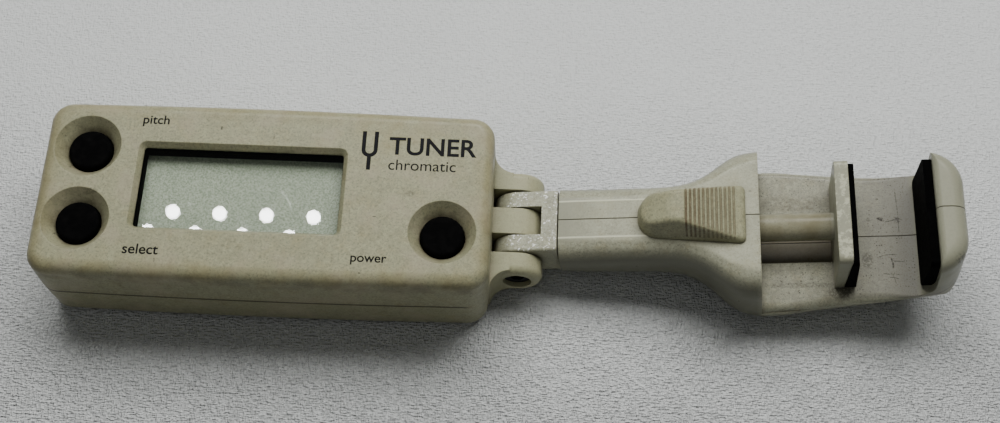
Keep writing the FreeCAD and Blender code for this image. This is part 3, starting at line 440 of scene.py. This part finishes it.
def clamp_plastic():
    """Paler and dirtier: the channel's floor is worn grey, with smudges, pits and scratches. The
    handle's sides and the groove under the jaw's rod have painted shade; the handle's flat top has
    wear and painted sheen, and painted highlight lines along its shoulders.
    """
    m = Plastic("clamp_plastic", PALE, clamp=True, speckle=0.45, scratches=0.35)
    # painted shade: the handle's sides below its flat top darker
    shaded_handle_side = m.times(m.band(m.z, HANDLE_TOP - 0.2, HANDLE_TOP - 2.2),
                          m.band(m.x, MOUTH + 0.7, MOUTH - 0.8))
    m.tint(m.times(shaded_handle_side, 0.95), shade(PALE, 0.38))
    m.tint(m.times(m.band(m.x, HOOK, HOOK + 3.0), 0.85), shade(PALE, 0.72))
    floor = m.times(m.near(m.z, CHANNEL_FLOOR, 0.12, 0.3), m.band(m.x, MOUTH - 0.2, MOUTH + 0.2))
    wall = m.times(m.near(m.z, CHANNEL_FLOOR + 1.2, 1.3, 0.6), m.band(m.x, HOOK, HOOK + 5.0))
    dull = m.band(m.noise(0.5, 6.0, 0.7), 0.30, 0.70, 0.05, 0.5)
    m.tint(m.times(m.math("MAXIMUM", floor, wall), dull), WORN_GREY)
    m.tint(m.times(floor, m.band(m.x, HOOK - 11.0, HOOK + 3.0, 0.0, 0.72)), SCUFFED_GREY)
    pits = m.times(m.specks(2.6, 0.13, 0.6), m.band(m.noise(0.30, 3.0), 0.44, 0.58))
    m.tint(m.times(floor, pits, 0.7), SOOT)
    m.tint(m.times(floor, m.band(m.noise(4.5, 3.0, 0.8), 0.50, 0.68, 0.0, 0.45)), GRIME_AND_SHADE)
    track = m.times(m.near(m.y, 6.0, 0.9, 0.5), m.band(m.x, MOUTH - 0.3, MOUTH + 1.2),
                    m.band(m.x, JAW_PLATE + 0.9, JAW_PLATE - 1.6))
    m.tint(m.times(floor, track, m.band(m.noise(1.3, 5.0), 0.35, 0.65), 0.55), GRIME_AND_SHADE)
    m.marks(FLOOR_MARKS, floor)
    m.scratches(FLOOR_SCRATCHES, floor)
    m.marks(HANDLE_MARKS, m.band(m.z, HANDLE_TOP - 0.7, HANDLE_TOP - 0.3))
    crown = m.times(m.patch(67.3, -8.2, 1.5, 1.3), m.band(m.z, 0.0, 2.0))
    m.tint(m.times(crown, m.band(m.noise(2.0, 4.0), 0.45, 0.6), 0.75), SOOT)
    # the handle's flat top lighter in patches: wear and painted sheen
    flat = m.times(m.band(m.z, HANDLE_TOP, HANDLE_TOP + 0.14), m.band(m.x, MOUTH, MOUTH - 1))
    m.tint(m.times(flat, m.band(m.noise(0.25, 4.0), 0.35, 0.65, 0.1, 0.45)), shade(PALE, 1.25))
    m.tint(m.times(flat, m.band(m.x, 14.0, 8.0), 0.8), shade(PALE, 0.70))
    # painted shade: the groove under the jaw's rod darker
    below = m.times(m.band(m.z, CHANNEL_FLOOR - 0.15, CHANNEL_FLOOR - 0.6),
                    m.band(m.x, MOUTH, MOUTH + 0.1))
    m.tint(m.times(below, m.near(m.y, 0.0, 4.5, 0.3), 0.85), GRIME_AND_SHADE)
    # painted highlight: a light line along each shoulder of the handle's top, also raised in the
    # bump and glossier
    ridge_and_highlight = m.times(m.near(m.math("ABSOLUTE", m.y), 3.1, 0.06, 0.14),
                    m.band(m.z, HANDLE_TOP - 0.5, HANDLE_TOP - 0.2),
                    m.band(m.x, RIB_FIRST + 0.2, RIB_FIRST - 4.8))
    m.tint(m.times(ridge_and_highlight, 0.8), shade(PALE, 1.7))
    m.height = m.math("ADD", m.height, m.times(ridge_and_highlight, 1.6))
    m.rough = m.math("SUBTRACT", m.rough, m.times(ridge_and_highlight, 0.12))
    m.groove(m.near(m.y, 0.0, 0.055, 0.05))
    return m.done(0.34, bump=0.3)


def yoke_plastic():
    """Worn glossy and pitted on top, with lighter patches of wear and painted sheen there, and
    white specks painted in as highlights.
    """
    m = Plastic("yoke_plastic", PALE, clamp=True, speckle=0.15, scratches=0.15, dirt=0.85)
    worn = m.band(m.z, HANDLE_TOP - 0.15, HANDLE_TOP + 0.05)
    # lighter patches on top: wear and painted sheen
    m.tint(m.times(worn, m.band(m.noise(1.4, 4.0, 0.7), 0.42, 0.62, 0.1, 0.6)), shade(PALE, 1.3))
    m.tint(m.times(worn, m.band(m.noise(2.1, 4.0, 0.7), 0.52, 0.62, 0.0, 0.6)), shade(PALE, 0.6))
    m.height = m.math("ADD", m.height, m.times(worn, m.noise(2.4, 4.0, 0.7), 2.2))
    # painted highlights: white specks on the top
    painted_glints = m.times(worn, m.band(m.noise(2.4, 2.0, 0.6), 0.57, 0.64),
                     m.band(m.noise(0.5, 3.0), 0.42, 0.52))
    m.tint(m.times(painted_glints, 0.95), PAINTED_GLINT)
    m.rough = m.math("SUBTRACT", m.rough, m.times(worn, 0.14))
    return m.done(0.32, bump=0.5, height=0.05, specular=0.5)


def jaw_plastic():
    """Browner on the rod than on the plate, with pale chips along the plate's top."""
    m = Plastic("jaw_plastic", PALE, clamp=True, speckle=0.35, scratches=0.3)
    rod = m.band(m.x, JAW_PLATE + 0.3, JAW_PLATE)
    m.tint(m.times(rod, m.band(m.noise(0.4, 5.0), 0.40, 0.65, 0.50, 0.9)), ROD_BROWN)
    m.tint(m.times(m.band(m.x, JAW_PLATE, JAW_PLATE + 0.3), 0.75), shade(PALE, 0.70))
    chips = m.times(m.band(m.z, 4.60, 4.72), m.band(m.noise(0.8, 4.0, 0.7), 0.52, 0.60))
    m.tint(m.times(chips, 0.6), shade(PALE, 1.5))
    return m.done(0.36, bump=0.35)


def slide_plastic():
    """The thumb slide, with brown dirt rubbed into its ribs."""
    m = Plastic("slide_plastic", BEIGE, clamp=True, speckle=0.2, scratches=0.1)
    away = m.math("SUBTRACT", m.x, RIB_FIRST - RIB_PITCH / 2)
    gap = m.near(m.math("FRACT", m.math("DIVIDE", away, RIB_PITCH)), 0.5, 0.17, 0.16)
    ribbed = m.times(m.band(m.x, RIB_FIRST - 0.3, RIB_FIRST - 0.2),
                     m.band(m.x, RIB_LAST + 0.1, RIB_LAST),
                     m.band(m.z, HANDLE_TOP + 1.0, HANDLE_TOP + 1.1))
    older = m.band(m.x, RIB_FIRST, RIB_FIRST + 4.0, 0.95, 0.55)
    dirt = m.times(gap, ribbed, older, m.band(m.noise(1.2, 5.0, 0.7), 0.30, 0.55, 0.45, 1.0))
    m.tint(dirt, RIB_BROWN)
    return m.done(0.42, bump=0.2)


dress(case_plastic(), "front_shell", "rear_shell", "battery_cap")
dress(clamp_plastic(), "clamp_half_near", "clamp_half_far")
dress(yoke_plastic(), "swivel_yoke")
dress(jaw_plastic(), "sliding_jaw")
dress(slide_plastic(), "thumb_slide")


# ---- rubber, display and metal ----
DUST = (0.045, 0.042, 0.038)


def rubber(name, colour, roughness, dust, clamp=False):
    """Dull rubber or foam with a share of dust and lint."""
    m = Maker(name, clamp)
    cloud = m.band(m.noise(0.8, 6.0), 0.45, 0.75, 0.0, dust)
    lint = m.times(m.specks(0.9, 0.07, 0.35), dust * 2)
    tone = m.mix(m.plus(cloud, lint), colour, DUST)
    m.shader.inputs["Specular IOR Level"].default_value = 0.04
    rough = m.band(m.noise(1.5, 4.0), 0.3, 0.7, roughness - 0.05, roughness + 0.1)
    return m.finish(Base_Color=tone, Roughness=rough,
                    Normal=m.bump(m.noise(4.2, 2.0), 0.2, 0.02, m.corners(0.25)[0]))


dress(rubber("button_rubber", (0.0016, 0.0016, 0.0017), 0.72, 0.05),
      "reference_button", "select_button", "power_button")
dress(rubber("pad_rubber", (0.0012, 0.0012, 0.0012), 0.80, 0.035, clamp=True),
      "hook_pad", "jaw_pad")
dress(rubber("gasket_foam", (0.0015, 0.0015, 0.0015), 0.90, 0.02), "lcd_gasket")


# scratches on the window: from, to, half width, bow, strength
LENS_SCRATCHES = (
    ((23.2, -1.8), (24.0, -2.7), 0.11, 0.05, 1.0), ((37.1, 0.8), (39.3, -2.5), 0.10, 0.35, 1.0),
    ((21.6, 0.8), (23.1, -0.6), 0.07, 0.10, 0.5), ((32.6, 1.0), (34.5, -1.8), 0.07, 0.20, 0.5),
    ((28.8, -1.9), (29.6, -0.9), 0.08, 0.0, 0.6), ((31.4, -3.6), (31.7, -5.0), 0.10, 0.0, 0.7),
    ((35.6, -2.4), (37.3, -3.1), 0.10, 0.10, 0.9), ((32.2, -5.5), (33.2, -5.4), 0.10, 0.05, 0.9),
    ((32.4, -5.6), (31.5, -6.6), 0.10, 0.05, 0.9), ((20.4, -2.0), (20.5, -0.7), 0.08, 0.0, 0.5),
)


def lens():
    """Clear window: most of what is under it shows, with sharp reflections and scratches."""
    m = Maker("window_lens")
    m.shader.inputs["IOR"].default_value = 2.6
    m.shader.inputs["Alpha"].default_value = 0.16
    broken = m.band(m.noise(2.5, 3.0, 0.7), 0.36, 0.50)
    scratched = m.math("MULTIPLY", m.specks(0.8, 0.07, 0.5), 0.5)
    for start, end, half, bow, strength in LENS_SCRATCHES:
        line = m.times(m.scratch(start, end, half, bow), broken, strength)
        scratched = m.math("MAXIMUM", scratched, line)
    tone = m.mix(scratched, (0.003, 0.004, 0.003), (1.0, 1.0, 0.96))
    return m.finish(Base_Color=tone, Roughness=m.band(m.noise(0.3, 5.0), 0.4, 0.8, 0.009, 0.013))


def lcd():
    """Switched-off display: grey-green, with the fine grain of its reflector."""
    m = Maker("lcd_glass")
    grain = m.band(m.noise(3.9, 3.0, 0.8), 0.40, 0.60)
    tone = m.mix(grain, (0.40, 0.50, 0.33), (0.81, 0.91, 0.70))
    tone = m.mix(m.band(m.noise(0.1, 3.0), 0.4, 0.7, 0.0, 0.25), tone, (0.52, 0.61, 0.45))
    return m.finish(Base_Color=tone, Roughness=m.band(grain, 0.0, 1.0, 0.30, 0.45),
                    Normal=m.bump(m.noise(5.0, 2.0), 0.08, 0.02))


dress(lens(), "display_window")
dress(lcd(), "lcd_panel")


STEEL = (0.45, 0.45, 0.44)


def metal(name, colour, roughness, clamp=False):
    """Brushed metal."""
    m = Maker(name, clamp)
    lines = m.noise(1.0, 3.0, 0.6, m.stretched((0.4, 4.0, 4.0)))
    tone = m.mix(m.band(lines, 0.3, 0.7), colour, shade(colour, 0.75))
    rough = m.band(lines, 0.3, 0.7, roughness - 0.05, roughness + 0.1)
    m.shader.inputs["Metallic"].default_value = 1.0
    return m.finish(Base_Color=tone, Roughness=rough, Normal=m.bump(lines, 0.2, 0.02))


dress(metal("screw_steel", STEEL, 0.32), "case_screws", "hinge_nut")
dress(metal("clamp_steel", STEEL, 0.32, clamp=True), "clamp_screws", "slide_pin", "jaw_spring")
dress(metal("hinge_steel", (0.035, 0.035, 0.04), 0.45), "hinge_screw")
dress(metal("cell_steel", (0.62, 0.62, 0.61), 0.25), "coin_cell")
dress(metal("contact_metal", (0.60, 0.58, 0.53), 0.3), "positive_contact", "negative_contact")
dress(metal("piezo_brass", (0.58, 0.40, 0.15), 0.35), "piezo_pickup")
dress(metal("lead_copper", (0.58, 0.24, 0.11), 0.3), "piezo_leads")


def moulded(name, colour, roughness, clamp=False):
    """Plain technical plastic for the pieces inside."""
    m = Maker(name, clamp)
    tone = m.mix(m.band(m.noise(0.5, 5.0), 0.3, 0.7), colour, shade(colour, 0.78))
    rough = m.band(m.noise(0.8), 0.3, 0.7, roughness - 0.05, roughness + 0.08)
    return m.finish(Base_Color=tone, Roughness=rough, Normal=m.bump(m.noise(2.0), 0.2, 0.02))


dress(moulded("board_mask", (0.02, 0.13, 0.05), 0.35), "circuit_board")
dress(moulded("chip_plastic", (0.015, 0.015, 0.015), 0.5), "main_chip", "signal_chip")
dress(moulded("switch_plastic", (0.02, 0.02, 0.02), 0.5), "reference_switch", "select_switch",
      "power_switch", "reference_plunger", "select_plunger", "power_plunger")
dress(moulded("nylon", (0.7, 0.7, 0.66), 0.4, clamp=True), "friction_washer")
dress(moulded("connector_rubber", (0.2, 0.2, 0.22), 0.6),
      "connector_strip_front", "connector_strip_back")


def squeezed_spring():
    """The jaw's spring as its own copy, parented to the jaw's body, with the solid part hidden."""
    solid = nodes["jaw_spring"]
    coil = bpy.data.objects.new("spring_coil", solid.data.copy())
    bpy.context.scene.collection.objects.link(coil)
    coil.matrix_world = solid.matrix_world
    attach(coil, "jaw")
    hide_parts("jaw_spring")
    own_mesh(coil)


squeezed_spring()


# ---- printing on the case's face ----
def ink():
    """Black print, a little worn."""
    m = Maker("label_ink")
    worn = m.times(m.band(m.noise(3.5, 4.0, 0.7), 0.62, 0.74), 0.25)
    m.shader.inputs["Specular IOR Level"].default_value = 0.15
    return m.finish(Base_Color=m.mix(worn, (0.003, 0.003, 0.004), (0.15, 0.14, 0.11)),
                    Roughness=m.band(m.noise(1.5), 0.3, 0.7, 0.38, 0.52))


INK = ink()
INK_HEIGHT = 0.015 * MM      # above the face, and as far below it
FORK_STEPS = 16             # straight parts of the tuning fork's round bottom


def printed(name, mesh):
    """Makes a thin print on the face out of a mesh."""
    piece = bpy.data.objects.new(name, mesh)
    bpy.context.scene.collection.objects.link(piece)
    mesh.materials.clear()
    mesh.materials.append(INK)
    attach(piece, "tuner_case")


def printed_word(name, word, place, width, weight):
    """A printed word, from its left end and baseline, as wide as given in millimetres."""
    curve = bpy.data.curves.new(name + "_curve", "FONT")
    curve.body = word
    curve.offset = weight
    curve.extrude = 0.5
    holder = bpy.data.objects.new(name + "_curve", curve)
    bpy.context.scene.collection.objects.link(holder)
    shape = holder.evaluated_get(bpy.context.evaluated_depsgraph_get())
    mesh = bpy.data.meshes.new_from_object(shape)
    bpy.data.objects.remove(holder)
    left = min(v.co.x for v in mesh.vertices)
    size = width * MM / (max(v.co.x for v in mesh.vertices) - left)
    corner = in_case(place[0], place[1], 0)
    for v in mesh.vertices:
        v.co = Vector((corner.x + (v.co.x - left) * size, corner.y + v.co.y * size,
                       face_z + (INK_HEIGHT if v.co.z > 0 else -INK_HEIGHT)))
    printed(name, mesh)


def printed_outline(name, points):
    """A printed closed shape from its corners in millimetres on the face."""
    build = bmesh.new()
    floor_z = face_z - INK_HEIGHT
    face = build.faces.new([build.verts.new((*in_case(x, y, 0).xy, floor_z)) for x, y in points])
    walls = bmesh.ops.extrude_face_region(build, geom=[face])["geom"]
    top = [part for part in walls if isinstance(part, bmesh.types.BMVert)]
    bmesh.ops.translate(build, verts=top, vec=(0, 0, 2 * INK_HEIGHT))
    bmesh.ops.recalc_face_normals(build, faces=build.faces)
    mesh = bpy.data.meshes.new(name)
    build.to_mesh(mesh)
    build.free()
    printed(name, mesh)


def tuning_fork(place, half, stroke, prong, stem):
    """Outline of a small tuning fork: two prongs, a round bottom and a stem."""
    x, y = place
    turns = [math.pi * (1 + i / FORK_STEPS) for i in range(FORK_STEPS + 1)]
    outer = [(x + half * math.cos(t), y + half * math.sin(t)) for t in turns]
    bore = half - stroke
    inner = [(x + bore * math.cos(t), y + bore * math.sin(t)) for t in reversed(turns)]
    left, right = outer[:FORK_STEPS // 2], outer[FORK_STEPS // 2 + 1:]
    foot = [(x - stroke / 2, left[-1][1]), (x - stroke / 2, y - half - stem),
            (x + stroke / 2, y - half - stem), (x + stroke / 2, right[0][1])]
    return ([(x - half, y + prong)] + left + foot + right + [(x + half, y + prong)]
            + [(x + bore, y + prong)] + inner + [(x - bore, y + prong)])


# words: left end and baseline, width and how much bolder the letters are
for word, place, width, weight in (
        ("pitch", (14.9, 10.7), 4.1, 0.012), ("select", (14.9, -11.3), 5.4, 0.012),
        ("power", (49.2, -11.2), 5.4, 0.012), ("TUNER", (53.6, 7.0), 13.6, 0.018),
        ("chromatic", (53.7, 4.3), 10.4, 0.0)):
    printed_word("label_" + word.lower(), word, place, width, weight)
printed_outline("label_fork", tuning_fork((50.6, 7.6), half=1.25, stroke=0.62, prong=3.2, stem=2.2))


# ---- floor, light and camera ----
FLOOR_SIZE = 3.0
FLOOR_GAP = 0.00002         # keeps the sheet clear of the object's bottom


def floor_sheet():
    """Pale woven paper, whose weave shows less toward the back."""
    bpy.ops.mesh.primitive_plane_add(size=FLOOR_SIZE, location=(0, 0, cad_box[0][2] - FLOOR_GAP))
    sheet = bpy.context.object
    sheet.name = "floor"
    m = Maker("floor_paper")
    warp = m.noise(1.0, 1.0, 0.5, m.stretched((3.2, 1.1, 1.0)))
    weft = m.noise(1.0, 1.0, 0.5, m.stretched((1.1, 3.2, 1.0)))
    weave = m.math("ADD", warp, weft)
    light, dark, gaps = (0.725, 0.740, 0.722), (0.690, 0.705, 0.688), (0.50, 0.51, 0.50)
    tone = m.mix(m.band(m.noise(0.04, 4.0), 0.3, 0.7), light, dark)
    tone = m.mix(m.band(weave, 0.98, 0.80, 0.0, 0.35), tone, gaps)
    rough = m.band(weave, 0.7, 1.3, 0.75, 0.9)
    height = m.times(weave, m.band(m.y, -30.0, 30.0, 1.0, 0.30))
    paper = m.finish(Base_Color=tone, Roughness=rough, Normal=m.bump(height, 1.0, 0.8))
    sheet.data.materials.append(paper)


def area_light(name, place, aim, size, power):
    """A soft light of a width and height in metres, or round where only a width is given."""
    data = bpy.data.lights.new(name, "AREA")
    data.size = size[0]
    if len(size) == 2:
        data.shape = "RECTANGLE"
        data.size_y = size[1]
    else:
        data.shape = "DISK"
    data.energy = power
    light = bpy.data.objects.new(name, data)
    light.location = place
    light.rotation_euler = (Vector(aim) - Vector(place)).to_track_quat("-Z", "Y").to_euler()
    light.visible_camera = False
    bpy.context.scene.collection.objects.link(light)
    return light


SPOT_ROWS = ((-165, 302), (-180, 286.5))    # left end and distance back of each row of lamps
SPOTS_IN_ROW, SPOT_SPACING, SPOT_HEIGHT = 4, 32.3, 700
SPOT_WIDTH, SPOT_POWER = 0.0095, 0.02       # metres and watts
WINDOW_MIDDLE = (32, -4, 17)


def ceiling_spots():
    """Two rows of small lamps overhead, whose reflections show in the window."""
    for row, (left, back) in enumerate(SPOT_ROWS):
        for column in range(SPOTS_IN_ROW):
            place = in_case(left + SPOT_SPACING * column, back, SPOT_HEIGHT)
            area_light(f"spot_{row}_{column}", place, in_case(*WINDOW_MIDDLE),
                       (SPOT_WIDTH,), SPOT_POWER)


def world(strength):
    """Even light from all around."""
    space = bpy.data.worlds.new("studio")
    space.use_nodes = True
    background = space.node_tree.nodes["Background"]
    background.inputs["Color"].default_value = (0.95, 0.98, 1.0, 1.0)
    background.inputs["Strength"].default_value = strength
    bpy.context.scene.world = space


CAMERA_PLACE = (74.58, -91.1, 212.3)        # millimetres in the case's own directions
CAMERA_TURN = (24.64, -0.12, 2.42)          # degrees about x, y and z
CAMERA_LENS, CAMERA_SENSOR = 50.7, 36.0     # focal length and sensor width, millimetres


def camera():
    """The lens stands in front of the tuner and looks steeply down at it."""
    data = bpy.data.cameras.new("camera")
    data.sensor_width = CAMERA_SENSOR
    data.lens = CAMERA_LENS
    data.clip_start = 0.01
    eye = bpy.data.objects.new("camera", data)
    eye.location = in_case(*CAMERA_PLACE)
    eye.rotation_euler = Euler([math.radians(turn) for turn in CAMERA_TURN])
    bpy.context.scene.collection.objects.link(eye)
    bpy.context.scene.camera = eye


# soft lights: name, place, aim, width and height, power; gloss makes only the highlights
SOFT_LIGHTS = (
    ("key", (0.02, 0.155, 0.30), (0, 0, 0), (0.40, 0.18), 1.55),
    ("fill", (-0.10, -0.13, 0.46), (0, 0, 0), (0.30, 0.30), 0.11),
    ("room_back", (0, 1.3, 0.9), (0, 1.3, 0), (2.0, 1.0), 2.5),
    ("room_front", (0, -1.3, 0.9), (0, -1.3, 0), (2.0, 1.0), 1.5),
    ("gloss", (0.02, 0.37, 0.42), (0, 0, 0), (0.40, 0.12), 1.5),
)

floor_sheet()
world(0.05)
for name, place, aim, size, power in SOFT_LIGHTS:
    lamp = area_light(name, place, aim, size, power)
    lamp.visible_glossy = name == "gloss"
    lamp.visible_diffuse = name != "gloss"
ceiling_spots()
camera()
